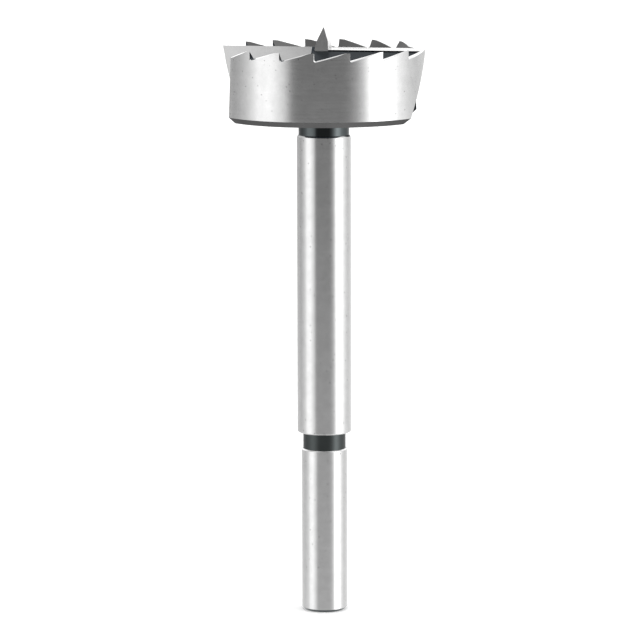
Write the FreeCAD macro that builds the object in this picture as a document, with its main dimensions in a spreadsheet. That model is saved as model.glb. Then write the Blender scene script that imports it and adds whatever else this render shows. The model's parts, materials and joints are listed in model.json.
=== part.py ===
import FreeCAD, Part
import math
import os
import Sketcher

# Multi-tooth forstner bit, turned and milled from one piece of tool steel.
# The origin is the centre of the shank's end face and Z runs up to the point.
# The two radial cutters lie along X. Seen from the point the bit turns anticlockwise,
# so the cutter at +X faces +Y and its relief falls away towards -Y.

NODE = "forstner_bit"

# How far a cut runs past the metal, in millimetres
OVERRUN = "1.0"

# Name, value in millimetres, degrees or pieces, and what it measures
SIZES = (
    ("shank_diameter", 10.0, "plain shank for a 10 mm chuck"),
    ("shank_length", 36.0, "shank, from its end face to the groove"),
    ("shank_end_chamfer", 0.6, "lead-in on the shank end"),
    ("groove_diameter", 9.3, "groove between shank and shaft"),
    ("groove_length", 3.6, "length of that groove"),
    ("shaft_diameter", 11.8, "thick shaft"),
    ("shaft_length", 65.2, "shaft, from groove to neck"),
    ("edge_break", 0.25, "small chamfer on turned edges"),
    ("neck_diameter", 11.0, "neck under the head"),
    ("neck_length", 3.4, "gap between shaft and head"),
    ("head_diameter", 45.0, "cutting diameter"),
    ("head_height", 15.8, "head, from its underside to the tooth tips"),
    ("head_chamfer_width", 1.1, "underside chamfer, measured across"),
    ("head_chamfer_height", 1.2, "underside chamfer, measured up"),
    ("rim_wall", 2.65, "thickness of the toothed rim"),
    ("rim_bevel_angle", 38.0, "inner bevel of the rim, from vertical"),
    ("cutter_drop", 0.2, "how far the cutters lie below the tooth tips"),
    ("land_width", 2.1, "ground land behind a cutter's edge"),
    ("land_angle", 13.0, "fall of that land"),
    ("relief_step", 0.2, "drop from the land to the milled floor"),
    ("relief_angle", 21.0, "fall of the floor behind the land"),
    ("rake_angle", 29.5, "slope of the cutter's face, from vertical"),
    ("throat_width", 14.0, "cutter line to the rim's start, at the underside"),
    ("throat_flare_angle", 3.6, "slope of the throat's far wall, from vertical"),
    ("throat_rake_radius", 1.0, "corner between cutter face and web"),
    ("throat_far_radius", 5.0, "corner between web and far wall"),
    ("web_width", 3.1, "web between the throats, level with the cutters"),
    ("web_clearance", 0.3, "shaft to throat at the underside"),
    ("tooth_pitch", 19.5, "angle from tooth to tooth"),
    ("teeth_per_row", 6, "teeth behind each cutter"),
    ("first_tooth_near", 23.5, "angle from the +X cutter back to its first tooth"),
    ("first_tooth_far", 27.2, "angle from the -X cutter back to its first tooth"),
    ("gullet_depth", 1.85, "tooth height"),
    ("gullet_radius", 0.35, "root of a gullet"),
    ("tip_land_length", 1.2, "flatter ground top of a tooth"),
    ("tip_land_angle", 6.0, "fall of that top"),
    ("spur_rise", 4.2, "point of the spur above the cutters"),
    ("spur_tip_width", 0.12, "blunted point of the spur"),
    ("spur_pyramid_height", 2.85, "upper, sharper part of the spur"),
    ("spur_pyramid_width", 2.45, "width along the cutters where it ends"),
    ("spur_foot_width", 3.15, "width along the cutters at the foot"),
    ("spur_face_angle", 24.0, "slope of the front and back face, from vertical"),
    ("spur_foot_drop", 1.2, "foot of the spur below the cutters"),
)

doc = FreeCAD.newDocument("ForstnerBit")
sheet = doc.addObject("Spreadsheet::Sheet", "Sizes")
for row, (alias, value, note) in enumerate(SIZES, start=1):
    sheet.set(f"A{row}", alias)
    sheet.set(f"B{row}", str(value))
    sheet.set(f"C{row}", note)
    sheet.setAlias(f"B{row}", alias)
doc.recompute()

# Places that follow from the sizes, written for the sheet's expressions
SHANK_RADIUS = "Sizes.shank_diameter / 2"
GROOVE_RADIUS = "Sizes.groove_diameter / 2"
SHAFT_RADIUS = "Sizes.shaft_diameter / 2"
NECK_RADIUS = "Sizes.neck_diameter / 2"
HEAD_RADIUS = "Sizes.head_diameter / 2"
RIM_INSIDE = f"{HEAD_RADIUS} - Sizes.rim_wall"
GROOVE_START = "Sizes.shank_length"
SHAFT_START = f"{GROOVE_START} + Sizes.groove_length"
NECK_START = f"{SHAFT_START} + Sizes.shaft_length"
UNDERSIDE = f"{NECK_START} + Sizes.neck_length"
TIPS = f"{UNDERSIDE} + Sizes.head_height"
CUTTERS = f"{TIPS} - Sizes.cutter_drop"
SPUR_POINT = f"{CUTTERS} + Sizes.spur_rise"

body = doc.addObject("PartDesign::Body", NODE)
body.Label = NODE
ORIGIN = {feature.Role: feature for feature in body.Origin.OriginFeatures}


def new_sketch(name, plane):
    sketch = body.newObject("Sketcher::SketchObject", name)
    sketch.AttachmentSupport = [(ORIGIN[plane], "")]
    sketch.MapMode = "FlatFace"
    return sketch


def worked_out(sketch, place):
    """The value that an expression on the sheet has now."""
    return float(sketch.evalExpression(place))


def pin(sketch, geometry, end, across, up):
    """Tie a point to its two coordinates, or to an axis where one is zero."""
    for kind, axis, place in (("DistanceX", -2, across), ("DistanceY", -1, up)):
        if place == "0":
            sketch.addConstraint(Sketcher.Constraint("PointOnObject", geometry, end, axis))
        else:
            value = worked_out(sketch, place)
            number = sketch.addConstraint(Sketcher.Constraint(kind, -1, 1, geometry, end, value))
            sketch.setExpression(f"Constraints[{number}]", place)


def round_corner(sketch, spot, back, ahead, before, after, corner):
    """Draw the arc of a rounded corner, tangent to the lines before and after it."""
    radius = worked_out(sketch, corner[2])
    inward = (back + ahead).normalize()
    centre = spot + inward * (radius / math.sin(back.getAngle(ahead) / 2))
    left_turn = back.cross(ahead).z < 0
    first, last = (back, ahead) if left_turn else (ahead, back)
    reach = radius / math.tan(back.getAngle(ahead) / 2)
    angles = []
    for side in (first, last):
        touch = spot + side * reach - centre
        angles.append(math.atan2(touch.y, touch.x))
    circle = Part.Circle(centre, FreeCAD.Vector(0, 0, 1), radius)
    arc = sketch.addGeometry(Part.ArcOfCircle(circle, angles[0], angles[1]))
    meets, leaves = (1, 2) if left_turn else (2, 1)
    sketch.addConstraint(Sketcher.Constraint("Tangent", before, 2, arc, meets))
    sketch.addConstraint(Sketcher.Constraint("Tangent", arc, leaves, after, 1))
    number = sketch.addConstraint(Sketcher.Constraint("Radius", arc, radius))
    sketch.setExpression(f"Constraints[{number}]", corner[2])
    point = sketch.addGeometry(Part.Point(spot), True)
    sketch.addConstraint(Sketcher.Constraint("PointOnObject", point, 1, before))
    sketch.addConstraint(Sketcher.Constraint("PointOnObject", point, 1, after))
    pin(sketch, point, 1, corner[0], corner[1])


def draw_outline(sketch, corners):
    """Draw a closed outline. A corner is (across, up), or (across, up, radius) where rounded."""
    spots = [FreeCAD.Vector(*(worked_out(sketch, place) for place in corner[:2]), 0) for corner in corners]
    count = len(corners)
    backs = [(spots[index - 1] - spots[index]).normalize() for index in range(count)]
    aheads = [(spots[(index + 1) % count] - spots[index]).normalize() for index in range(count)]
    trims = []
    for index, corner in enumerate(corners):
        slack = 0.0
        if len(corner) == 3:
            slack = worked_out(sketch, corner[2]) / math.tan(backs[index].getAngle(aheads[index]) / 2)
        trims.append(slack)
    lines = []
    for index in range(count):
        following = (index + 1) % count
        start = spots[index] + aheads[index] * trims[index]
        stop = spots[following] + backs[following] * trims[following]
        lines.append(sketch.addGeometry(Part.LineSegment(start, stop)))
    for index, corner in enumerate(corners):
        before, after = lines[index - 1], lines[index]
        if len(corner) == 3:
            round_corner(sketch, spots[index], backs[index], aheads[index], before, after, corner)
        else:
            sketch.addConstraint(Sketcher.Constraint("Coincident", before, 2, after, 1))
            pin(sketch, after, 1, corner[0], corner[1])
    if sketch.solve() != 0:
        raise RuntimeError(f"{sketch.Name} does not solve")


def level_outline(name, height, corners):
    """A closed outline on a level plane at the given height."""
    sketch = new_sketch(name, "XY_Plane")
    sketch.setExpression("AttachmentOffset.Base.z", height)
    draw_outline(sketch, corners)
    return sketch


def rectangle(name, height, width, depth):
    """A level rectangle about the axis."""
    right, left = f"{width} / 2", f"-{width} / 2"
    rear, front = f"{depth} / 2", f"-{depth} / 2"
    return level_outline(name, height, ((left, front), (right, front), (right, rear), (left, rear)))


def settle(feature, sign):
    """Rebuild, and make sure that the feature added metal (1) or took metal away (-1)."""
    before = settle.volume
    doc.recompute()
    settle.volume = feature.Shape.Volume
    if (settle.volume - before) * sign <= 0:
        raise RuntimeError(f"{feature.Name} changes the volume from {before} to {settle.volume}")
    return feature


settle.volume = 0.0


def turn(name, corners):
    """Revolve a half section about the axis."""
    sketch = new_sketch(f"{name}_section", "XZ_Plane")
    draw_outline(sketch, corners)
    feature = body.newObject("PartDesign::Revolution", name)
    feature.Profile = sketch
    feature.ReferenceAxis = (sketch, ["V_Axis"])
    feature.Angle = 360
    return settle(feature, 1)


def repeat(name, original, count, step, sign):
    """Repeat a feature about the axis, clockwise seen from the point."""
    pattern = body.newObject("PartDesign::PolarPattern", name)
    pattern.Originals = [original]
    pattern.Axis = (ORIGIN["Z_Axis"], [""])
    pattern.Reversed = True
    pattern.Mode = "Spacing"
    pattern.setExpression("Offset", step)
    pattern.setExpression("Occurrences", count)
    body.Tip = pattern
    return settle(pattern, sign)


# Turned blank: shank, groove, shaft, neck and a plain disc for the head
turn("blank", (
    ("0", "0"),
    (f"{SHANK_RADIUS} - Sizes.shank_end_chamfer", "0"),
    (SHANK_RADIUS, "Sizes.shank_end_chamfer"),
    (SHANK_RADIUS, f"{GROOVE_START} - Sizes.edge_break"),
    (f"{SHANK_RADIUS} - Sizes.edge_break", GROOVE_START),
    (GROOVE_RADIUS, GROOVE_START),
    (GROOVE_RADIUS, SHAFT_START),
    (f"{SHAFT_RADIUS} - Sizes.edge_break", SHAFT_START),
    (SHAFT_RADIUS, f"{SHAFT_START} + Sizes.edge_break"),
    (SHAFT_RADIUS, f"{NECK_START} - Sizes.edge_break"),
    (f"{SHAFT_RADIUS} - Sizes.edge_break", NECK_START),
    (NECK_RADIUS, NECK_START),
    (NECK_RADIUS, UNDERSIDE),
    (f"{HEAD_RADIUS} - Sizes.head_chamfer_width", UNDERSIDE),
    (HEAD_RADIUS, f"{UNDERSIDE} + Sizes.head_chamfer_height"),
    (HEAD_RADIUS, CUTTERS),
    ("0", CUTTERS),
))

# Relief behind each cutter: a narrow land, then the milled floor that falls away to the rim
LAND_END = f"{CUTTERS} - Sizes.land_width * tan(Sizes.land_angle)"
FLOOR_START = f"{LAND_END} - Sizes.relief_step"
RELIEF_REACH = f"{HEAD_RADIUS} + {OVERRUN}"
RELIEF_END = f"{FLOOR_START} - ({RELIEF_REACH} - Sizes.land_width) * tan(Sizes.relief_angle)"
relief_outline = new_sketch("relief_outline", "YZ_Plane")
draw_outline(relief_outline, (
    ("0", CUTTERS),
    ("-Sizes.land_width", LAND_END),
    ("-Sizes.land_width", FLOOR_START),
    (f"-({RELIEF_REACH})", RELIEF_END),
    (f"-({RELIEF_REACH})", f"{CUTTERS} + {OVERRUN}"),
    ("0", f"{CUTTERS} + {OVERRUN}"),
))
relief = body.newObject("PartDesign::Pocket", "relief")
relief.Profile = relief_outline
relief.Type = "Length"
relief.SideType = "Symmetric"
relief.setExpression("Length", f"2 * ({RELIEF_REACH})")
settle(relief, -1)
repeat("both_reliefs", relief, "2", "180", -1)

# Rim: a wall that the inner bevel brings to an edge at the cutting diameter
turn("rim", (
    (RIM_INSIDE, f"{UNDERSIDE} + Sizes.head_chamfer_height"),
    (HEAD_RADIUS, f"{UNDERSIDE} + Sizes.head_chamfer_height"),
    (HEAD_RADIUS, TIPS),
    (RIM_INSIDE, f"{TIPS} - Sizes.rim_wall / tan(Sizes.rim_bevel_angle)"),
))


def throat_outline(name, height):
    """Level section of the +X throat: cutter face, far wall, and the web's side between them."""
    face = f"({height} - ({CUTTERS})) * tan(Sizes.rake_angle)"
    wall = f"Sizes.throat_width + ({height} - ({UNDERSIDE})) * tan(Sizes.throat_flare_angle)"
    foot = f"({SHAFT_RADIUS} + Sizes.web_clearance)"
    share = f"(({CUTTERS} - ({height})) / (Sizes.head_height - Sizes.cutter_drop))"
    web = f"Sizes.web_width / 2 + {share} * ({foot} - Sizes.web_width / 2)"
    outside = f"{HEAD_RADIUS} + {OVERRUN}"
    return level_outline(name, height, (
        (web, face, "Sizes.throat_rake_radius"),
        (outside, face),
        (outside, wall),
        (web, wall, "Sizes.throat_far_radius"),
    ))


# Throats: each is open above, below and outwards, and its face is the cutter's rake
throat = body.newObject("PartDesign::SubtractiveLoft", "throat")
throat.Profile = throat_outline("throat_low", f"{UNDERSIDE} - {OVERRUN}")
throat.Sections = [throat_outline("throat_high", f"{TIPS} + {OVERRUN}")]
throat.Ruled = True
settle(throat, -1)
repeat("both_throats", throat, "2", "180", -1)


def gullet(name, turned_by, reach, tip):
    """Cut one gullet through the rim, from a tooth's upright face to the tip in front of it.

    The outline's upright side lies in a plane through the axis, turned_by degrees
    anticlockwise from +X. reach is the angle to the next tip, and tip is that tip's height.
    """
    across = f"{HEAD_RADIUS} * sin({reach})"
    outline = new_sketch(f"{name}_outline", "XZ_Plane")
    outline.AttachmentOffset = FreeCAD.Placement(
        FreeCAD.Vector(0, 0, 0), FreeCAD.Rotation(FreeCAD.Vector(0, 1, 0), 45))
    outline.setExpression("AttachmentOffset.Rotation.Angle", f"{turned_by} + 90")
    outline.setExpression("AttachmentOffset.Base.x", f"({RIM_INSIDE}) * sin({turned_by} + 90)")
    outline.setExpression("AttachmentOffset.Base.z", f"({RIM_INSIDE}) * cos({turned_by} + 90)")
    corners = [
        ("0", f"{TIPS} - Sizes.gullet_depth", "Sizes.gullet_radius"),
        (f"{across} - Sizes.tip_land_length", f"{tip} - Sizes.tip_land_length * tan(Sizes.tip_land_angle)"),
        (across, tip),
    ]
    end = across
    if tip == CUTTERS:
        # What stands ahead of the cutter's corner comes down level with the cutter
        end = f"{across} + {OVERRUN}"
        corners.append((end, tip))
    corners += [(end, f"{TIPS} + {OVERRUN}"), ("0", f"{TIPS} + {OVERRUN}")]
    draw_outline(outline, corners)
    cut = body.newObject("PartDesign::Pocket", name)
    cut.Profile = outline
    cut.Type = "Length"
    cut.Reversed = True
    cut.setExpression("Length", f"Sizes.rim_wall + {OVERRUN}")
    return settle(cut, -1)


# Teeth: the rows are ground one after the other, and the far one starts a little further back
for row, cutter_at in (("near", "0"), ("far", "180")):
    first = f"Sizes.first_tooth_{row}"
    gullet(f"corner_gullet_{row}", f"({cutter_at} - {first})", first, CUTTERS)
    second = f"({cutter_at} - {first} - Sizes.tooth_pitch)"
    next_one = gullet(f"gullet_{row}", second, "Sizes.tooth_pitch", TIPS)
    repeat(f"gullets_{row}", next_one, "Sizes.teeth_per_row", "Sizes.tooth_pitch", -1)

# Spur: its front and back are one plane each from the point to the foot, its sides steepen halfway
def spur_section(name, below_point, width):
    depth = f"(Sizes.spur_tip_width + 2 * ({below_point}) * tan(Sizes.spur_face_angle))"
    return rectangle(name, f"{SPUR_POINT} - ({below_point})", width, depth)


spur = body.newObject("PartDesign::AdditiveLoft", "spur")
spur.Profile = spur_section("spur_foot", "Sizes.spur_rise + Sizes.spur_foot_drop", "Sizes.spur_foot_width")
spur.Sections = [
    spur_section("spur_shoulder", "Sizes.spur_pyramid_height", "Sizes.spur_pyramid_width"),
    spur_section("spur_tip", "0", "Sizes.spur_tip_width"),
]
spur.Ruled = True
settle(spur, 1)

# Nothing is written unless every object is sound and the bit is one closed solid
for item in doc.Objects:
    if "Invalid" in item.State or "Error" in item.State:
        raise RuntimeError(f"{item.Name} failed: {item.State}")
if body.Shape.isNull() or not body.Shape.isValid() or len(body.Shape.Solids) != 1:
    raise RuntimeError(f"{body.Label} is not one valid solid")

os.makedirs("parts", exist_ok=True)
body.Shape.exportStep(os.path.join("parts", f"{NODE}.step"))
box = body.Shape.optimalBoundingBox()
print(f"{NODE}: {box.XLength:.2f} x {box.YLength:.2f} x {box.ZLength:.2f} mm, {body.Shape.Volume:.0f} mm3")
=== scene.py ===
import json
import math

import bmesh
import bpy
from bpy.props import FloatProperty, FloatVectorProperty, IntProperty, PointerProperty
from mathutils import Matrix, Vector


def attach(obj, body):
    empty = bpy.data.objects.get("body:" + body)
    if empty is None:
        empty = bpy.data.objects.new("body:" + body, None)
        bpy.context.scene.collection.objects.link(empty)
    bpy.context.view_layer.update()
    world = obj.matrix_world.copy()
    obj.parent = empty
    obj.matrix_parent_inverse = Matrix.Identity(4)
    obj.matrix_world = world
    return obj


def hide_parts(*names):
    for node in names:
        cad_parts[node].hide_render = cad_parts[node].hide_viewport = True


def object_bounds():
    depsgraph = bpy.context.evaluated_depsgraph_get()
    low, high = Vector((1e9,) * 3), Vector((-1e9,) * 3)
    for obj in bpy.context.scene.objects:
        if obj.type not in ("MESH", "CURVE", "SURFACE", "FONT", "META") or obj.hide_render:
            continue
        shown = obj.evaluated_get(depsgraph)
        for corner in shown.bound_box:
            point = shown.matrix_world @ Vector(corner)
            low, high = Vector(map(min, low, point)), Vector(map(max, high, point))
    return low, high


bl_info = {
    "name": "Saw-tooth Boring Bit",
    "version": (1, 0, 0),
    "blender": (4, 5, 0),
    "location": "3D View > Sidebar > Boring Bit",
    "description": "Ground steel and black oxide on a one-piece multi-tooth forstner bit",
    "category": "Object",
}

# The frame: one solid, with its shank on the ground and its point up
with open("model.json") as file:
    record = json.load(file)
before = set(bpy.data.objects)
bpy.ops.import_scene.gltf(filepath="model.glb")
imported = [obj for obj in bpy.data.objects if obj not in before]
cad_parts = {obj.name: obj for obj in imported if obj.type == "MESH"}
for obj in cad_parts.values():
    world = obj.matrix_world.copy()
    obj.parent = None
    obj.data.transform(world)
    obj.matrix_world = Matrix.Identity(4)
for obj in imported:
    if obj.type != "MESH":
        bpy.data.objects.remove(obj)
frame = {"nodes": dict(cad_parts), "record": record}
CAD_LOW, CAD_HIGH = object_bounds()
NODE = "forstner_bit"
BODY = "root"
MM = 0.001
MICROMETRE = 1e-6
MOUNTS = {mount["name"]: mount for mount in frame["record"]["mounts"]}
SHANK_RADIUS = MOUNTS["shank"]["dims"]["r_mm"] * MM
WHITE = (1.0, 1.0, 1.0, 1.0)


def linear(hex_colour):
    """An sRGB hex colour as linear red, green and blue."""
    channels = [int(hex_colour[place:place + 2], 16) / 255 for place in (1, 3, 5)]
    return tuple(c / 12.92 if c <= 0.04045 else ((c + 0.055) / 1.055) ** 2.4 for c in channels)


def length(name, description, default):
    """A length in metres that a user can change."""
    return FloatProperty(name=name, description=description, default=default, unit="LENGTH")


def slope(name, description, degrees):
    """An angle that a user can change, given here in degrees."""
    return FloatProperty(name=name, description=description, default=math.radians(degrees), unit="ROTATION")


def colour(name, description, hex_colour):
    """A colour that a user can change, given here as sRGB hex."""
    return FloatVectorProperty(
        name=name, description=description, default=linear(hex_colour), subtype="COLOR")


class BitStemSizes(bpy.types.PropertyGroup):
    """Turned lengths below the head"""
    shank_radius: length("Shank radius", "Radius that a chuck closes on", SHANK_RADIUS)
    shank_chamfer: length("End chamfer", "Lead-in on the shank's end", 0.6 * MM)
    groove_start: length("Groove start", "Height of the groove's lower side", 36.0 * MM)
    groove_end: length("Groove end", "Height of the groove's upper side", 39.6 * MM)
    groove_radius: length("Groove radius", "Radius at the bottom of the groove", 4.65 * MM)
    shaft_radius: length("Shaft radius", "Radius of the thick shaft", 5.9 * MM)
    shaft_end: length("Shaft end", "Height where the shaft ends", 104.8 * MM)
    neck_radius: length("Neck radius", "Radius of the neck under the head", 5.5 * MM)
    edge_break: length("Edge break", "Chamfer on the turned edges", 0.25 * MM)
    corner: length("Corner radius", "Rounding left by the turning tool", 0.08 * MM)
    segments: IntProperty(name="Segments", description="Facets round the axis", default=192, min=24)


class BitHeadSizes(bpy.types.PropertyGroup):
    """Head, as the frame holds it"""
    radius: length("Cutting radius", "Radius of the toothed rim", 22.5 * MM)
    underside: length("Underside", "Height of the head's lower face", 108.2 * MM)
    tips: length("Tooth tips", "Height of the rim's teeth", 124.0 * MM)
    rim_wall: length("Rim wall", "Thickness of the rim", 2.65 * MM)
    rim_bevel: slope("Rim bevel", "Inner bevel of the rim, from vertical", 38.0)
    chamfer_width: length("Chamfer width", "Underside chamfer, measured across", 1.1 * MM)
    chamfer_height: length("Chamfer height", "Underside chamfer, measured up", 1.2 * MM)
    land_angle: slope("Land angle", "Fall of the ground land behind an edge", 13.0)
    rake_angle: slope("Rake angle", "Lean of a cutter's face, from vertical", 29.5)
    spur_reach: length("Spur reach", "Half the diagonal of the spur's foot", 3.2 * MM)
    spur_foot: length("Spur foot", "Height of the spur's foot", 122.5 * MM)
    tooth_reach: length("Tooth reach", "How far a tooth's back reaches inward of the rim", 0.8 * MM)
    point_height: length("Point height", "Height of the spur's very point", 1.0 * MM)
    tooth_root: length("Tooth root", "A height below the deepest gullet", 120.0 * MM)
    tooth_edge: length("Tooth edge", "Width of the bright edge round the teeth", 0.19 * MM)
    facets: IntProperty(name="Facets", description="Facets round the rim", default=144, min=36)


class BitFinishes(bpy.types.PropertyGroup):
    """Colours of the steel"""
    steel: colour("Ground steel", "Bright steel where the wheel has been", "#C9C9C9")
    # The teeth's edge bevels get a brighter steel: a painted highlight along the edges
    edge_highlight: colour("Honed steel", "Polished edges of the teeth", "#E6E6E6")
    oxide: colour("Black oxide", "Skin left by hardening, where nothing was ground", "#4F5455")
    # Partly the oxide's own colour and partly painted shade: the recesses are made darker than the skin
    # elsewhere
    recess_oxide_and_shade: colour("Recess oxide", "The same skin inside the head, where it is thickest", "#34393D")
    groove_oxide: colour("Groove oxide", "The same skin in the groove, over coarse turning marks", "#464A4A")
    thin_oxide: colour("Thin black oxide", "The same skin where it is thin", "#5E5E5E")


class BitStageSizes(bpy.types.PropertyGroup):
    """Camera, floor and light"""
    camera_azimuth: slope("Azimuth", "Turn of the camera about the bit", 13.26)
    camera_elevation: slope("Elevation", "How far the camera looks down", 8.357)
    camera_roll: slope("Roll", "Turn of the picture about its centre", -0.123)
    camera_distance: length("Distance", "From the camera to the point that it aims at", 787.09 * MM)
    camera_lens: FloatProperty(name="Lens", description="Focal length in millimetres", default=202.897)
    aim_height: length("Aim height", "Height of the point that the camera aims at", 64.22 * MM)
    aim_side: length("Aim side", "Place of that point to the right of the axis", -0.916 * MM)
    floor_radius: length("Floor radius", "Radius of the pale floor", 4.0)
    floor_colour: colour("Floor colour", "Colour of the matt floor", "#F6F6F6")


def sockets_of(group):
    """A node's inputs or outputs by their identifiers."""
    return {socket.identifier: socket for socket in group}


def add_node(tree, kind, settings=None, inputs=None):
    """Add a node, set its properties, and set or link its inputs by their identifiers."""
    made = tree.nodes.new(kind)
    for name, value in (settings or {}).items():
        setattr(made, name, value)
    found = sockets_of(made.inputs)
    for identifier, value in (inputs or {}).items():
        if isinstance(value, bpy.types.NodeSocket):
            tree.links.new(value, found[identifier])
        else:
            found[identifier].default_value = value
    return made


def new_material(name):
    """A material with an empty node tree, and that tree."""
    material = bpy.data.materials.new(name)
    material.use_nodes = True
    material.node_tree.nodes.clear()
    return material, material.node_tree


# How many finer steps of noise the grain and the clouds have, and how much each step keeps of the last
GRAIN_DETAIL = 3.0
CLOUD_DETAIL = 4.0
NOISE_ROUGHNESS = 0.6


def stretched_noise(tree, spacing, detail):
    """Noise in the piece's own place, with one spacing in millimetres along each axis."""
    place = add_node(tree, "ShaderNodeTexCoord").outputs["Object"]
    per_metre = tuple(1 / (step * MM) for step in spacing)
    scaled = add_node(tree, "ShaderNodeMapping", inputs={"Vector": place, "Scale": per_metre})
    return add_node(tree, "ShaderNodeTexNoise", inputs={
        "Vector": scaled.outputs["Vector"], "Scale": 1.0,
        "Detail": detail, "Roughness": NOISE_ROUGHNESS}).outputs["Fac"]


# The stretch of a noise's values that nearly all of it falls in
NOISE_LOW, NOISE_HIGH = 0.3, 0.7


def between(tree, factor, low, high):
    """A number that follows a noise from low to high."""
    return add_node(tree, "ShaderNodeMapRange", inputs={
        "Value": factor, "From Min": NOISE_LOW, "From Max": NOISE_HIGH,
        "To Min": low, "To Max": high}).outputs["Result"]


# Specks, drawn larger than the real pits so that they show in the picture: the spacing of their cells
# and the width of one in millimetres, the share of its radius that is darkest, and the share of the
# metal's tone that is left there
SPECK_SPACING = 1.4
SPECK_SIZE = 0.36
SPECK_CORE = 0.4
SPECK_TONE = 0.5


def specks(tree, share):
    """Small round specks with soft edges: that share of the cells of a pattern holds one each."""
    place = add_node(tree, "ShaderNodeTexCoord").outputs["Object"]
    cells = add_node(tree, "ShaderNodeTexVoronoi", inputs={
        "Vector": place, "Scale": 1 / (SPECK_SPACING * MM)})
    chance = add_node(tree, "ShaderNodeSeparateColor", inputs={"Color": cells.outputs["Color"]})
    chosen = add_node(tree, "ShaderNodeMath", {"operation": "GREATER_THAN"}, {
        "Value": chance.outputs["Red"], "Value_001": 1 - share}).outputs["Value"]
    radius = SPECK_SIZE / 2 / SPECK_SPACING
    near = add_node(tree, "ShaderNodeMapRange", inputs={
        "Value": cells.outputs["Distance"], "From Min": radius, "From Max": SPECK_CORE * radius})
    return add_node(tree, "ShaderNodeMath", {"operation": "MULTIPLY"}, {
        "Value": chosen, "Value_001": near.outputs["Result"]}).outputs["Value"]


# How far from the axis, in metres, the cutters' faces reach their full brightness
FULL_TONE = 20.0 * MM


def darker_towards_axis(tree, base, middle):
    """A colour that loses tone along X towards the bit's axis, where only that share of it is left."""
    place = add_node(tree, "ShaderNodeTexCoord").outputs["Object"]
    along = add_node(tree, "ShaderNodeSeparateXYZ", inputs={"Vector": place}).outputs["X"]
    out = add_node(tree, "ShaderNodeMath", {"operation": "ABSOLUTE"}, {"Value": along}).outputs["Value"]
    share = add_node(tree, "ShaderNodeMapRange", {"interpolation_type": "SMOOTHSTEP"}, {
        "Value": out, "From Max": FULL_TONE, "To Min": middle, "To Max": 1.0}).outputs["Result"]
    return add_node(tree, "ShaderNodeVectorMath", {"operation": "SCALE"}, {
        "Vector": base, "Scale": share}).outputs["Vector"]


# The darkest tone of a clouded metal, how much of its tone follows the clouds and not the grain, and
# how far the grain moves its roughness, each as a share
CLOUD_TONE = 0.90
CLOUD_SHARE = 0.93
ROUGHNESS_SWING = 0.08
# A quarter of a full turn, from round the axis to along it, which is how the grain draws reflections out
ACROSS_THE_GRAIN = 0.25


def metal(name, tint, roughness, lines, line_depth, cloud, anisotropy=0.0, pits=0.0, edge=1.0, middle=1.0):
    """A bare metal surface with a grain of machining lines.

    lines holds the grain's spacing in millimetres along X, Y and Z, and line_depth its depth in
    micrometres. cloud is the size in millimetres of the slow change in tone, pits the share of
    cells that hold a dark speck, edge how much is reflected at a glancing angle, and middle the
    share of the tone that is left at the bit's axis.
    """
    material, tree = new_material(name)
    grain = stretched_noise(tree, lines, GRAIN_DETAIL)
    tone = stretched_noise(tree, (cloud, cloud, cloud), CLOUD_DETAIL)
    streaked = add_node(tree, "ShaderNodeMath", {"operation": "ADD"}, {
        "Value": between(tree, tone, 0.0, CLOUD_SHARE),
        "Value_001": between(tree, grain, 0.0, 1 - CLOUD_SHARE)})
    darker = tuple(CLOUD_TONE * channel for channel in tint)
    clouded = add_node(tree, "ShaderNodeMix", {"data_type": "RGBA"}, {
        "Factor_Float": streaked.outputs["Value"], "A_Color": (*darker, 1.0), "B_Color": (*tint, 1.0)})
    base = sockets_of(clouded.outputs)["Result_Color"]
    if pits:
        spot = tuple(SPECK_TONE * channel for channel in tint)
        spotted = add_node(tree, "ShaderNodeMix", {"data_type": "RGBA"}, {
            "Factor_Float": specks(tree, pits), "A_Color": base, "B_Color": (*spot, 1.0)})
        base = sockets_of(spotted.outputs)["Result_Color"]
    if middle < 1:
        base = darker_towards_axis(tree, base, middle)
    relief = add_node(tree, "ShaderNodeBump", inputs={
        "Strength": 1.0, "Distance": line_depth * MICROMETRE, "Height": grain}).outputs["Normal"]
    smoother, rougher = (roughness * (1 + swing) for swing in (-ROUGHNESS_SWING, ROUGHNESS_SWING))
    shader = add_node(tree, "ShaderNodeBsdfPrincipled", inputs={
        "Base Color": base, "Metallic": 1.0, "Normal": relief,
        "Roughness": between(tree, grain, smoother, rougher),
        "Anisotropic": anisotropy, "Anisotropic Rotation": ACROSS_THE_GRAIN,
        "Specular Tint": (edge, edge, edge, 1.0)})
    if anisotropy:
        around = add_node(tree, "ShaderNodeTangent", {"direction_type": "RADIAL", "axis": "Z"})
        tree.links.new(around.outputs["Tangent"], shader.inputs["Tangent"])
    add_node(tree, "ShaderNodeOutputMaterial", inputs={"Surface": shader.outputs["BSDF"]})
    return material


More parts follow.
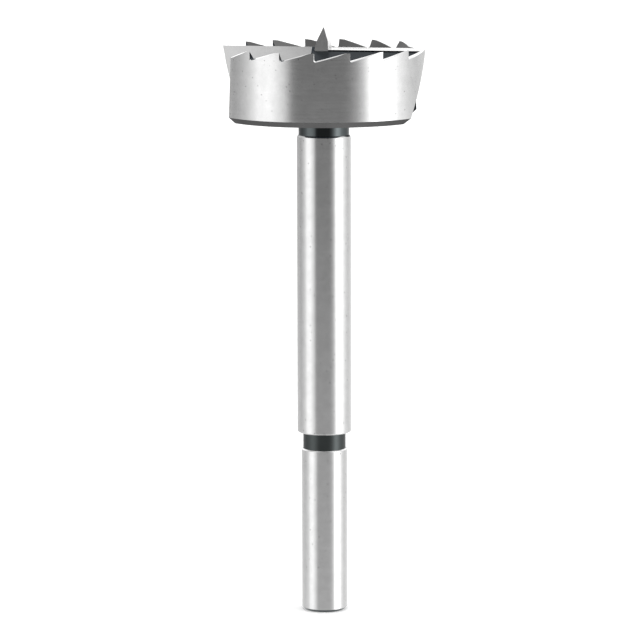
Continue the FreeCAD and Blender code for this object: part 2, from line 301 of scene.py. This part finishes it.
def finishes(colours):
    """The finishes of the bit, by name."""
    steel, edge_highlight = tuple(colours.steel), tuple(colours.edge_highlight)
    oxide, groove = tuple(colours.oxide), tuple(colours.groove_oxide)
    recess, thin = tuple(colours.recess_oxide_and_shade), tuple(colours.thin_oxide)
    made = (
        # Hardened tool steel, ground between centres: bright, with a hairline grain round the axis that
        # draws reflections out into upright bands. The real scratches are finer than the picture shows.
        metal("ground_steel", steel, roughness=0.20, lines=(9.0, 9.0, 0.35), line_depth=0.6,
              cloud=2.2, anisotropy=0.7, pits=0.8),
        # The same steel off a flat wheel: the lands behind the cutting edges and the tops of the teeth,
        # with a grain across the cutters
        metal("flat_ground_steel", steel, roughness=0.24, lines=(0.5, 2.5, 2.5), line_depth=1.5,
              cloud=2.5),
        # The cutters' faces off the same wheel, their colour darker towards the middle
        metal("inward_darkening_steel", steel, roughness=0.24, lines=(0.5, 2.5, 2.5), line_depth=1.5,
              cloud=2.5, middle=0.65),
        # The spur's four faces, ground across, with a deeper grain that runs level
        metal("cross_ground_steel", steel, roughness=0.20, lines=(4.0, 4.0, 0.5), line_depth=5.0,
              cloud=2.5),
        # The teeth's outer edges, in a brighter steel than the rest, which paints the highlight that runs
        # along them
        metal("edge_highlight_steel", edge_highlight, roughness=0.20, lines=(2.0, 2.0, 2.0), line_depth=0.5,
              cloud=2.5),
        # Blued skin of the hardening bath over turned marks: near black, smooth, slightly blue
        metal("turned_black_oxide", oxide, roughness=0.10, lines=(6.0, 6.0, 0.30), line_depth=1.5,
              cloud=3.0, anisotropy=0.3, edge=0.8),
        # In the groove and inside the rim, coarser turning marks spread the reflections wider
        metal("grooved_black_oxide", groove, roughness=0.30, lines=(6.0, 6.0, 0.45), line_depth=2.0,
              cloud=3.0, anisotropy=0.2, edge=0.8),
        # The same skin over the milling marks of the recesses, which run along the cutters, set darker than
        # the oxide elsewhere: partly the skin's own tone, partly painted shade in the recesses
        metal("milled_oxide_and_shade", recess, roughness=0.24, lines=(5.0, 0.4, 0.4), line_depth=2.5,
              cloud=3.0, edge=0.65),
        # Where that skin is thin, on the chamfer and the teeth's inner bevel, more of the steel shows
        metal("thin_black_oxide", thin, roughness=0.24, lines=(4.0, 4.0, 0.30), line_depth=4.0,
              cloud=2.0, edge=0.5),
    )
    return {material.name: material for material in made}


# The finishes in the order of the head's material slots
FINISH_ORDER = (
    "ground_steel", "flat_ground_steel", "inward_darkening_steel", "cross_ground_steel", "edge_highlight_steel",
    "turned_black_oxide", "grooved_black_oxide", "milled_oxide_and_shade", "thin_black_oxide",
)


def finish_list():
    """The finishes by name, made once."""
    if FINISH_ORDER[0] not in bpy.data.materials:
        return finishes(bpy.context.scene.bit_finishes)
    return {name: bpy.data.materials[name] for name in FINISH_ORDER}


def lay_on_body(piece):
    """A finished piece rides on the bit's one body and stands for the solid."""
    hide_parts(NODE)
    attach(piece, BODY)


def stem_profile(sizes, top):
    """Corners of the turned outline as (radius, height), from the end's centre up into the head."""
    edge = sizes.edge_break
    return (
        (0.0, 0.0),
        (sizes.shank_radius - sizes.shank_chamfer, 0.0),
        (sizes.shank_radius, sizes.shank_chamfer),
        (sizes.shank_radius, sizes.groove_start - edge),
        (sizes.shank_radius - edge, sizes.groove_start),
        (sizes.groove_radius, sizes.groove_start),
        (sizes.groove_radius, sizes.groove_end),
        (sizes.shaft_radius - edge, sizes.groove_end),
        (sizes.shaft_radius, sizes.groove_end + edge),
        (sizes.shaft_radius, sizes.shaft_end - edge),
        (sizes.shaft_radius - edge, sizes.shaft_end),
        (sizes.neck_radius, sizes.shaft_end),
        (sizes.neck_radius, top),
        (0.0, top),
    )


# The straight steps that round one turned corner, and how near two points come to be one, as the
# turned copies of the profile's ends do on the axis
CORNER_STEPS = 3
POLE_MERGE = 0.001 * MM


def lathe_tree():
    """Geometry nodes that round a profile's corners and turn it about the axis."""
    tree = bpy.data.node_groups.new("Turned From Bar", "GeometryNodeTree")
    face = tree.interface
    for name, kind in (
            ("Geometry", "NodeSocketGeometry"), ("Start Radius", "NodeSocketFloat"),
            ("Corner Radius", "NodeSocketFloat"), ("Segments", "NodeSocketInt"),
            ("Groove Start", "NodeSocketFloat"), ("Groove End", "NodeSocketFloat"),
            ("Neck Start", "NodeSocketFloat"), ("End Chamfer", "NodeSocketFloat"),
            ("Ground", "NodeSocketMaterial"), ("Oxide", "NodeSocketMaterial"),
            ("Grooved", "NodeSocketMaterial")):
        face.new_socket(name, in_out="INPUT", socket_type=kind)
    face.new_socket("Geometry", in_out="OUTPUT", socket_type="NodeSocketGeometry")
    given = add_node(tree, "NodeGroupInput").outputs
    rounded = add_node(tree, "GeometryNodeFilletCurve", {"mode": "POLY"}, {
        "Curve": given["Geometry"], "Count": CORNER_STEPS,
        "Radius": given["Corner Radius"], "Limit Radius": True})
    path = add_node(tree, "GeometryNodeCurvePrimitiveCircle", {"mode": "RADIUS"}, {
        "Resolution": given["Segments"], "Radius": given["Start Radius"]})
    swept = add_node(tree, "GeometryNodeCurveToMesh", inputs={
        "Curve": path.outputs["Curve"], "Profile Curve": rounded.outputs["Curve"]})
    closed = add_node(tree, "GeometryNodeMergeByDistance", inputs={
        "Geometry": swept.outputs["Mesh"], "Distance": POLE_MERGE})
    outward = add_node(tree, "GeometryNodeFlipFaces", inputs={"Mesh": closed.outputs["Geometry"]})
    smooth = add_node(tree, "GeometryNodeSetShadeSmooth", {"domain": "FACE"}, {
        "Geometry": outward.outputs["Mesh"], "Shade Smooth": True})
    place = add_node(tree, "GeometryNodeInputPosition").outputs["Position"]
    height = add_node(tree, "ShaderNodeSeparateXYZ", inputs={"Vector": place}).outputs["Z"]

    def compare(operation, limit):
        """Where the height lies above or below a limit."""
        node = add_node(tree, "FunctionNodeCompare", {"operation": operation, "data_type": "FLOAT"},
                        {"A": height, "B": limit})
        return node.outputs["Result"]

    def combine(operation, first, second):
        """Where both of two selections hold, or one of them."""
        node = add_node(tree, "FunctionNodeBooleanMath", {"operation": operation},
                        {"Boolean": first, "Boolean_001": second})
        return node.outputs["Boolean"]

    groove = combine("AND", compare("GREATER_THAN", given["Groove Start"]),
                     compare("LESS_THAN", given["Groove End"]))
    ends = combine("OR", compare("GREATER_THAN", given["Neck Start"]),
                   compare("LESS_THAN", given["End Chamfer"]))
    real = add_node(tree, "GeometryNodeRealizeInstances", inputs={"Geometry": smooth.outputs["Geometry"]})
    ground = add_node(tree, "GeometryNodeSetMaterial", inputs={
        "Geometry": real.outputs["Geometry"], "Material": given["Ground"]})
    grooved = add_node(tree, "GeometryNodeSetMaterial", inputs={
        "Geometry": ground.outputs["Geometry"], "Selection": groove, "Material": given["Grooved"]})
    dark = add_node(tree, "GeometryNodeSetMaterial", inputs={
        "Geometry": grooved.outputs["Geometry"], "Selection": ends, "Material": given["Oxide"]})
    add_node(tree, "NodeGroupOutput", inputs={
        tree.interface.items_tree["Geometry"].identifier: dark.outputs["Geometry"]})
    return tree


def set_inputs(modifier, values):
    """Set a geometry nodes modifier's inputs, found by name, through their identifiers."""
    for item in modifier.node_group.interface.items_tree:
        if item.in_out == "INPUT" and item.name in values:
            modifier[item.identifier] = values[item.name]


def plain_mesh(carrier, name):
    """Turn a carrier with live modifiers into a plain mesh object, and remove the carrier."""
    evaluated = carrier.evaluated_get(bpy.context.evaluated_depsgraph_get())
    mesh = bpy.data.meshes.new_from_object(evaluated)
    mesh.name = name
    bpy.data.objects.remove(carrier)
    piece = bpy.data.objects.new(name, mesh)
    bpy.context.scene.collection.objects.link(piece)
    return piece


# How far the stem reaches into the head
OVERLAP = 0.5 * MM
# The modifier's largest weight, with which large faces lead the shading at the corners beside them
FULL_WEIGHT = 100


class BIT_OT_stem(bpy.types.Operator):
    """Turn the shank, groove, shaft and neck from one profile"""
    bl_idname = "bit.stem"
    bl_label = "Turn the Stem"

    def execute(self, context):
        sizes = context.scene.bit_stem
        into_head = context.scene.bit_head.underside + OVERLAP
        outline = bpy.data.curves.new("stem_profile", "CURVE")
        outline.dimensions = "3D"
        line = outline.splines.new("POLY")
        corners = stem_profile(sizes, into_head)
        line.points.add(len(corners) - 1)
        # The lathe lays the profile's X outwards from the shank's radius, and its Y downwards
        for point, (radius, height) in zip(line.points, corners):
            point.co = (radius - sizes.shank_radius, -height, 0.0, 1.0)
        carrier = bpy.data.objects.new("stem_profile", outline)
        context.scene.collection.objects.link(carrier)
        finish = finish_list()
        modifier = carrier.modifiers.new("Turned", "NODES")
        modifier.node_group = lathe_tree()
        set_inputs(modifier, {
            "Start Radius": sizes.shank_radius, "Corner Radius": sizes.corner, "Segments": sizes.segments,
            "Groove Start": sizes.groove_start, "Groove End": sizes.groove_end,
            "Neck Start": sizes.shaft_end, "End Chamfer": sizes.shank_chamfer,
            "Ground": finish["ground_steel"], "Oxide": finish["turned_black_oxide"],
            "Grooved": finish["grooved_black_oxide"]})
        turned = plain_mesh(carrier, "turned_stem")
        turned.modifiers.new("Flat Lengths", "WEIGHTED_NORMAL").weight = FULL_WEIGHT
        lay_on_body(plain_mesh(turned, "turned_stem"))
        return {"FINISHED"}


# A place is met within MARGIN. Two faces look the same way above ALIKE, the cosine of the angle
# between them, and lie in one plane above IN_PLANE. A face is upright whose normal rises or falls less
# than UPRIGHT, and level whose normal rises more than LEVEL. The narrow facets of the turned outside
# may lean up to OUTSIDE_LEAN, and the teeth's upright faces up to TOOTH_LEAN.
MARGIN = 0.2 * MM
ALIKE = 0.95
IN_PLANE = 0.9995
UPRIGHT = 0.05
OUTSIDE_LEAN = 0.15
TOOTH_LEAN = 0.3
LEVEL = 0.955


def true_normal(kind, point, sizes):
    """The exact normal of a turned surface at a point, or None on other faces."""
    out = Vector((point.x, point.y, 0.0)).normalized()
    if kind == "outside":
        return out
    if kind == "rim_inside":
        return -out
    if kind == "rim_bevel":
        return Vector((0.0, 0.0, math.sin(sizes.rim_bevel))) - out * math.cos(sizes.rim_bevel)
    if kind == "chamfer":
        return (out * sizes.chamfer_height - Vector((0.0, 0.0, sizes.chamfer_width))).normalized()
    return None


def face_kind(face, sizes):
    """What a face of the head is, from its place and the way it looks."""
    centre, normal = face.calc_center_median(), face.normal
    out = math.hypot(*centre.xy)
    lowest = min(vertex.co.z for vertex in face.verts)
    side = math.copysign(1.0, centre.y)
    inside = sizes.radius - sizes.rim_wall
    land = Vector((0.0, side * math.sin(sizes.land_angle), math.cos(sizes.land_angle)))
    rakes = [Vector((0.0, way * math.cos(sizes.rake_angle), -math.sin(sizes.rake_angle))) for way in (1, -1)]

    def turned(kind, radius):
        return out > radius - MARGIN and normal.dot(true_normal(kind, centre, sizes)) > ALIKE

    if turned("outside", sizes.radius) and abs(normal.z) < OUTSIDE_LEAN:
        return "outside"
    if turned("chamfer", sizes.radius - sizes.chamfer_width):
        return "chamfer"
    sloping = UPRIGHT < normal.z < LEVEL
    on_the_point = lowest > CAD_HIGH.z - sizes.point_height
    if lowest > sizes.spur_foot and out < sizes.spur_reach and (sloping or on_the_point):
        return "spur"
    if normal.dot(land) > IN_PLANE:
        return "recess" if centre.x * side > 0 and out < sizes.spur_reach else "land"
    if max(normal.dot(rake) for rake in rakes) > IN_PLANE:
        return "rake"
    if turned("rim_inside", inside) and abs(normal.z) < UPRIGHT:
        return "rim_inside"
    if turned("rim_bevel", inside):
        return "rim_bevel"
    if out > inside - sizes.tooth_reach and normal.z > LEVEL:
        return "tooth_back"
    return "recess"


KIND_FINISH = {
    "outside": "ground_steel", "land": "flat_ground_steel", "rake": "inward_darkening_steel",
    "spur": "cross_ground_steel", "tooth_back": "flat_ground_steel", "tooth_edge": "edge_highlight_steel",
    "chamfer": "thin_black_oxide",
    "rim_inside": "grooved_black_oxide", "rim_bevel": "thin_black_oxide", "recess": "milled_oxide_and_shade",
}


def on_skin(face, sizes):
    """Whether a face lies on the head's turned outside."""
    skin = sizes.radius - MARGIN / 2
    return abs(face.normal.z) < UPRIGHT and all(math.hypot(*vertex.co.xy) > skin for vertex in face.verts)


def split_at(cells, faces, point, normal, snap):
    """Cut some faces along a plane, without taking anything away."""
    edges = {edge for face in faces for edge in face.edges}
    corners = {vertex for face in faces for vertex in face.verts}
    bmesh.ops.bisect_plane(
        cells, geom=[*faces, *edges, *corners], dist=snap, plane_co=point, plane_no=normal)


# The rim's new cuts meet a corner that is nearer than this, so that no facet is narrower than the bevel
CUT_SNAP = 0.23 * MM
# A corner of the frame's mesh lies at most this far inside the true circle
FACET_SAG = 0.06 * MM


def round_the_rim(cells, sizes):
    """Cut the rim's facets into narrower ones and set their corners on the true circles."""
    inside = sizes.radius - sizes.rim_wall
    for turn in range(sizes.facets // 2):
        angle = 2 * math.pi * turn / sizes.facets
        rim = [face for face in cells.faces if math.hypot(*face.calc_center_median().xy) > inside]
        split_at(cells, rim, (0.0, 0.0, 0.0), (-math.sin(angle), math.cos(angle), 0.0), CUT_SNAP)
    for vertex in cells.verts:
        out = math.hypot(*vertex.co.xy)
        for circle in (sizes.radius, sizes.radius - sizes.chamfer_width, inside):
            if 0 < circle - out < FACET_SAG:
                vertex.co.xy *= circle / out


# An edge that turns less than this is shaded smooth and gets no bevel
CREASE = math.radians(30)
# The uprights get a corner at these depths below the tips, where the bevel's width changes, unless
# they have one within the snap
FADE_DEPTHS = (0.2 * MM, 0.45 * MM)
FADE_SNAP = 0.02 * MM
# The most that the bevel takes of a tooth's thickness, and its share of width on the uprights
THICKNESS_SHARE = 0.45
UPRIGHT_SHARE = 0.2
# A corner of the bevel moves out to the mitre of its two edges, up to the width over this
MITRE_LIMIT = 0.5


def cut_uprights(cells, sizes):
    """Cut the teeth's upright faces level, just below the tips."""
    inside = sizes.radius - sizes.rim_wall
    for depth in FADE_DEPTHS:
        uprights = [face for face in cells.faces
                    if abs(face.normal.z) < TOOTH_LEAN and not on_skin(face, sizes)
                    and min(vertex.co.z for vertex in face.verts) > sizes.tooth_root
                    and math.hypot(*face.calc_center_median().xy) > inside]
        split_at(cells, uprights, (0.0, 0.0, sizes.tips - depth), (0.0, 0.0, 1.0), FADE_SNAP)
    cells.normal_update()


def tooth_edges(cells, sizes):
    """The outer edges of the teeth, each with its face on the skin and its face on the tooth."""
    found = {}
    for edge in cells.edges:
        if len(edge.link_faces) != 2 or min(vertex.co.z for vertex in edge.verts) < sizes.tooth_root:
            continue
        skin, tooth = sorted(edge.link_faces, key=lambda face: not on_skin(face, sizes))
        if on_skin(skin, sizes) and not on_skin(tooth, sizes) and edge.calc_face_angle() > CREASE:
            found[edge] = (skin, tooth)
    return found


def ways_inward(found):
    """The directions from the teeth's edges into the skin, listed by the place of each edge's ends."""
    ways = {}
    for edge, faces in found.items():
        skin = faces[0]
        loop = next(loop for loop in skin.loops if loop.edge == edge)
        along = (loop.link_loop_next.vert.co - loop.vert.co).normalized()
        for vertex in edge.verts:
            ways.setdefault(tuple(vertex.co), []).append(skin.normal.cross(along))
    return ways


def at_place(face, place):
    """The corner of a face at a place."""
    return min(face.verts, key=lambda vertex: (vertex.co - place).length)


def bevel_teeth(cells, sizes):
    """Narrow bevel along the teeth's outer edges, which fades out at the knife-thin tips."""
    cells.normal_update()
    cut_uprights(cells, sizes)
    found = tooth_edges(cells, sizes)
    ways = ways_inward(found)
    strips = [(*faces, *(vertex.co.copy() for vertex in edge.verts)) for edge, faces in found.items()]
    bmesh.ops.split_edges(cells, edges=list(found))
    bevels, on_the_skin, on_the_tooth = [], set(), set()
    for skin, tooth, first, second in strips:
        corners = [at_place(skin, first), at_place(skin, second),
                   at_place(tooth, second), at_place(tooth, first)]
        loop = [corner for place, corner in enumerate(corners) if corner not in corners[:place]]
        bevels.append((cells.faces.new(loop), skin.normal + tooth.normal))
        on_the_skin.update(corners[:2])
        on_the_tooth.update(corners[2:])
    for vertex in on_the_skin ^ on_the_tooth:
        inward = ways[tuple(vertex.co)]
        mitre = sum(inward, Vector()).normalized()
        thickness = max(sizes.tips - vertex.co.z, 0.0) * math.tan(sizes.rim_bevel)
        width = min(sizes.tooth_edge, THICKNESS_SHARE * thickness)
        width *= UPRIGHT_SHARE + (1 - UPRIGHT_SHARE) * abs(mitre.z)
        if vertex in on_the_tooth:
            vertex.co.xy *= 1 - width / math.hypot(*vertex.co.xy)
        else:
            vertex.co += mitre * width / max(mitre.dot(inward[0]), MITRE_LIMIT)
            vertex.co.xy *= sizes.radius / math.hypot(*vertex.co.xy)
    for face, outward in bevels:
        face.normal_update()
        if face.normal.dot(outward) < 0:
            face.normal_flip()
    return {face for face, outward in bevels}


# Corners of the frame's mesh nearer than this are one, and faces that turn less than this are flat
MERGE = 0.002 * MM
FLAT = math.radians(0.3)


def take_head(cells, sizes):
    """Reduce the whole bit's mesh to its head, closed where the neck met it, with its flat faces whole."""
    bmesh.ops.remove_doubles(cells, verts=cells.verts, dist=MERGE)
    below = [face for face in cells.faces
             if min(vertex.co.z for vertex in face.verts) < sizes.underside - MARGIN]
    bmesh.ops.delete(cells, geom=below, context="FACES")
    bmesh.ops.holes_fill(cells, edges=[edge for edge in cells.edges if edge.is_boundary], sides=0)
    bmesh.ops.dissolve_limit(cells, angle_limit=FLAT, verts=cells.verts, edges=cells.edges)


def finish_faces(cells, bevels, kinds, sizes):
    """Note the kind of each face, and give it its finish and its shading."""
    names = list(KIND_FINISH)
    for face in cells.faces:
        kind = "tooth_edge" if face in bevels else face_kind(face, sizes)
        face[kinds] = names.index(kind)
        face.material_index = FINISH_ORDER.index(KIND_FINISH[kind])
        face.smooth = True
    for edge in cells.edges:
        edge.smooth = edge.calc_face_angle() < CREASE


def set_true_normals(mesh, sizes):
    """Shade the turned surfaces as exactly round, from the kind that each face was noted as."""
    names = list(KIND_FINISH)
    kinds = [names[noted.value] for noted in mesh.attributes["kind"].data]
    normals = [Vector(corner.vector) for corner in mesh.corner_normals]
    for polygon, kind in zip(mesh.polygons, kinds):
        for loop in polygon.loop_indices:
            point = mesh.vertices[mesh.loops[loop].vertex_index].co
            exact = true_normal(kind, point, sizes)
            if exact is not None:
                normals[loop] = exact
    mesh.normals_split_custom_set(normals)
    mesh.attributes.remove(mesh.attributes["kind"])


def make_head(sizes):
    """The head as its own closed piece, from a merged copy of the frame's mesh."""
    mesh = frame["nodes"][NODE].data.copy()
    mesh.name = "toothed_head"
    mesh.materials.clear()
    finish = finish_list()
    for name in FINISH_ORDER:
        mesh.materials.append(finish[name])
    cells = bmesh.new()
    cells.from_mesh(mesh)
    kinds = cells.faces.layers.int.new("kind")
    take_head(cells, sizes)
    round_the_rim(cells, sizes)
    bevels = bevel_teeth(cells, sizes)
    cells.normal_update()
    finish_faces(cells, bevels, kinds, sizes)
    cells.to_mesh(mesh)
    cells.free()
    set_true_normals(mesh, sizes)
    head = bpy.data.objects.new("toothed_head", mesh)
    bpy.context.scene.collection.objects.link(head)
    return head


class BIT_OT_head(bpy.types.Operator):
    """Dress the head: give each of its faces the finish that its making left"""
    bl_idname = "bit.head"
    bl_label = "Dress the Head"

    def execute(self, context):
        head = make_head(context.scene.bit_head)
        lay_on_body(head)
        return {"FINISHED"}


# The photograph's light: a pale tent with tall soft panels at both sides, a dark gap for the camera
# and a narrow dark gap behind. Each entry is an angle to the right of the camera, in degrees, and the
# brightness there.
TENT_ROUND = (
    (-180, 0.20), (-172, 0.22), (-162, 1.10), (-152, 0.60), (-116, 0.52), (-98, 0.84), (-88, 1.20),
    (-78, 1.72), (-62, 1.78), (-52, 1.45), (-44, 1.08), (-35, 0.22), (-28, 0.105), (22, 0.105),
    (28, 0.18), (37, 0.46), (45, 1.08), (54, 2.20), (63, 3.40), (76, 2.90), (88, 1.75), (98, 1.42),
    (110, 1.10), (124, 0.90), (150, 0.95), (162, 1.20), (172, 0.22), (180, 0.20),
)
# Brightness of the tent's top, the backdrop and the roof over it, and of the floor, which glows by
# itself and passes on a share of the panels
TENT_ABOVE = 1.05
BACKDROP = 1.70
OVERHEAD = 0.65
FLOOR_GLOW = 0.88
FLOOR_SHARE = 0.28
# Where one zone fades into the next, as the sine of the angle above the horizon. The gap for the
# camera reaches well up, and the backdrop stands on the horizon behind.
GAP_TOP = (0.74, 0.94)
BACKDROP_FOOT = (-0.03, 0.08)
BACKDROP_TOP = (0.60, 0.80)
FLOOR_EDGE = (-0.10, -0.22)
FLOOR_BELOW = (-0.5, -0.8)
# Where the camera's side of the tent turns into the backdrop's, as the cosine of the angle to the camera
BEHIND = (-0.15, -0.55)


def make_world(sizes):
    """The tent's bands round the bit, its pale top, floor and backdrop, and plain white to the camera."""
    world = bpy.data.worlds.new("light_tent")
    world.use_nodes = True
    tree = world.node_tree
    tree.nodes.clear()
    way = add_node(tree, "ShaderNodeTexCoord").outputs["Generated"]
    azimuth = sizes.camera_azimuth
    towards = (math.sin(azimuth), -math.cos(azimuth), 0.0)
    right = (math.cos(azimuth), math.sin(azimuth), 0.0)

    def along(direction):
        """How far a ray's way goes along a direction."""
        return add_node(tree, "ShaderNodeVectorMath", {"operation": "DOT_PRODUCT"},
                        {"Vector": way, "Vector_001": direction}).outputs["Value"]

    def ranged(value, low, high, first=0.0, last=1.0):
        """A number that goes from first to last as the value goes from low to high."""
        return add_node(tree, "ShaderNodeMapRange", inputs={
            "Value": value, "From Min": low, "From Max": high,
            "To Min": first, "To Max": last}).outputs["Result"]

    def blend(share, first, last):
        """The first number where the share is nothing, and the last where it is whole."""
        node = add_node(tree, "ShaderNodeMix", {"data_type": "FLOAT"},
                        {"Factor_Float": share, "A_Float": first, "B_Float": last})
        return sockets_of(node.outputs)["Result_Float"]

    facing = along(towards)
    turned = add_node(tree, "ShaderNodeMath", {"operation": "ARCTAN2"},
                      {"Value": along(right), "Value_001": facing}).outputs["Value"]
    ramp = add_node(tree, "ShaderNodeValToRGB", inputs={"Fac": ranged(turned, -math.pi, math.pi)})
    ramp.color_ramp.interpolation = "LINEAR"
    brightest = max(level for _, level in TENT_ROUND)
    stops = ramp.color_ramp.elements
    halfway = 0.5
    while len(stops) < len(TENT_ROUND):
        stops.new(halfway)
    for stop, (angle, level) in zip(stops, TENT_ROUND):
        stop.position = (angle + 180) / 360
        stop.color = (*(level / brightest for _ in range(3)), 1.0)
    band = add_node(tree, "ShaderNodeMath", {"operation": "MULTIPLY"},
                    {"Value": ramp.outputs["Color"], "Value_001": brightest}).outputs["Value"]
    height = add_node(tree, "ShaderNodeSeparateXYZ", inputs={"Vector": way}).outputs["Z"]
    behind = ranged(facing, *BEHIND)
    low, high = (blend(behind, front, back) for front, back in zip(GAP_TOP, BACKDROP_FOOT))
    raised = ranged(height, low, high)
    backdrop = ranged(height, *BACKDROP_TOP, BACKDROP, OVERHEAD)
    upper = blend(raised, band, blend(behind, TENT_ABOVE, backdrop))
    below = add_node(tree, "ShaderNodeMath", {"operation": "MULTIPLY_ADD"},
                     {"Value": band, "Value_001": FLOOR_SHARE, "Value_002": FLOOR_GLOW}).outputs["Value"]
    # Just under the horizon the brighter of tent and floor shows, and further down the floor alone
    lowered = blend(ranged(height, *FLOOR_EDGE), upper, below)
    lower = add_node(tree, "ShaderNodeMath", {"operation": "MAXIMUM"},
                     {"Value": upper, "Value_001": lowered}).outputs["Value"]
    tent = add_node(tree, "ShaderNodeBackground", inputs={
        "Color": WHITE, "Strength": blend(ranged(height, *FLOOR_BELOW), lower, below)})
    white = add_node(tree, "ShaderNodeBackground", inputs={"Color": WHITE, "Strength": 1.0})
    seen = add_node(tree, "ShaderNodeLightPath").outputs["Is Camera Ray"]
    shown = add_node(tree, "ShaderNodeMixShader", inputs={
        "Fac": seen, "Shader": tent.outputs["Background"], "Shader_001": white.outputs["Background"]})
    add_node(tree, "ShaderNodeOutputWorld", inputs={"Surface": shown.outputs["Shader"]})
    bpy.context.scene.world = world


FLOOR_FACETS = 96
# What the camera's view of the floor gains, so that it meets the white behind it
FLOOR_LIFT = 0.25


def make_floor(sizes):
    """A pale matt floor, clear from below and left out of the steel's reflections."""
    cells = bmesh.new()
    bmesh.ops.create_circle(cells, cap_ends=True, segments=FLOOR_FACETS, radius=sizes.floor_radius)
    mesh = bpy.data.meshes.new("floor")
    cells.to_mesh(mesh)
    cells.free()
    floor = bpy.data.objects.new("floor", mesh)
    bpy.context.scene.collection.objects.link(floor)
    material, tree = new_material("pale_floor")
    matt = add_node(tree, "ShaderNodeBsdfDiffuse", inputs={"Color": (*sizes.floor_colour, 1.0)})
    glow = add_node(tree, "ShaderNodeEmission", inputs={"Color": WHITE, "Strength": FLOOR_LIFT})
    seen = add_node(tree, "ShaderNodeLightPath").outputs["Is Camera Ray"]
    lit = add_node(tree, "ShaderNodeAddShader", inputs={
        "Shader": matt.outputs["BSDF"], "Shader_001": glow.outputs["Emission"]})
    direct = add_node(tree, "ShaderNodeMixShader", inputs={
        "Fac": seen, "Shader": matt.outputs["BSDF"], "Shader_001": lit.outputs["Shader"]})
    clear = add_node(tree, "ShaderNodeBsdfTransparent")
    under = add_node(tree, "ShaderNodeNewGeometry").outputs["Backfacing"]
    shown = add_node(tree, "ShaderNodeMixShader", inputs={
        "Fac": under, "Shader": direct.outputs["Shader"], "Shader_001": clear.outputs["BSDF"]})
    add_node(tree, "ShaderNodeOutputMaterial", inputs={"Surface": shown.outputs["Shader"]})
    mesh.materials.append(material)
    floor.visible_glossy = False


# The width in millimetres of the film that the lens is given for, and the camera's clipping distances
FILM_WIDTH = 36.0
CLIP_NEAR = 50 * MM
CLIP_FAR = 20.0


def make_camera(sizes):
    """The photograph's camera, from its azimuth, elevation, roll and distance."""
    turn, down = sizes.camera_azimuth, sizes.camera_elevation
    look = Vector((-math.sin(turn) * math.cos(down), math.cos(turn) * math.cos(down), -math.sin(down)))
    right = Vector((math.cos(turn), math.sin(turn), 0.0))
    aim = right * sizes.aim_side + Vector((0.0, 0.0, sizes.aim_height))
    level = Matrix((right, right.cross(look), -look)).transposed()
    roll = Matrix.Rotation(sizes.camera_roll, 3, "Z")
    data = bpy.data.cameras.new("camera")
    data.sensor_width = FILM_WIDTH
    data.lens = sizes.camera_lens
    data.clip_start, data.clip_end = CLIP_NEAR, CLIP_FAR
    camera = bpy.data.objects.new("camera", data)
    camera.matrix_world = Matrix.Translation(aim - look * sizes.camera_distance) @ (level @ roll).to_4x4()
    bpy.context.scene.collection.objects.link(camera)
    bpy.context.scene.camera = camera


class BIT_OT_stage(bpy.types.Operator):
    """Set the floor, the soft light and the photograph's camera"""
    bl_idname = "bit.stage"
    bl_label = "Set the Stage"

    def execute(self, context):
        sizes = context.scene.bit_stage
        make_floor(sizes)
        make_world(sizes)
        make_camera(sizes)
        context.scene.view_settings.view_transform = "Standard"
        return {"FINISHED"}


STEPS = ("bit.stem", "bit.head", "bit.stage")


class BIT_PT_panel(bpy.types.Panel):
    """The bit's steps in the 3D view's sidebar"""
    bl_label = "Boring Bit"
    bl_space_type = "VIEW_3D"
    bl_region_type = "UI"
    bl_category = "Boring Bit"

    def draw(self, context):
        for step in STEPS:
            self.layout.operator(step)


CLASSES = (BitStemSizes, BitHeadSizes, BitFinishes, BitStageSizes,
           BIT_OT_stem, BIT_OT_head, BIT_OT_stage, BIT_PT_panel)
GROUPS = {"bit_stem": BitStemSizes, "bit_head": BitHeadSizes,
          "bit_finishes": BitFinishes, "bit_stage": BitStageSizes}


def register():
    """Add the classes, and their sizes and colours to the scene."""
    for item in CLASSES:
        bpy.utils.register_class(item)
    for name, group in GROUPS.items():
        setattr(bpy.types.Scene, name, PointerProperty(type=group))


def unregister():
    """Take away what register added."""
    for name in GROUPS:
        delattr(bpy.types.Scene, name)
    for item in reversed(CLASSES):
        bpy.utils.unregister_class(item)


def main():
    """Build every piece and the stage."""
    register()
    bpy.ops.bit.stem()
    bpy.ops.bit.head()
    bpy.ops.bit.stage()


if __name__ == "__main__":
    main()
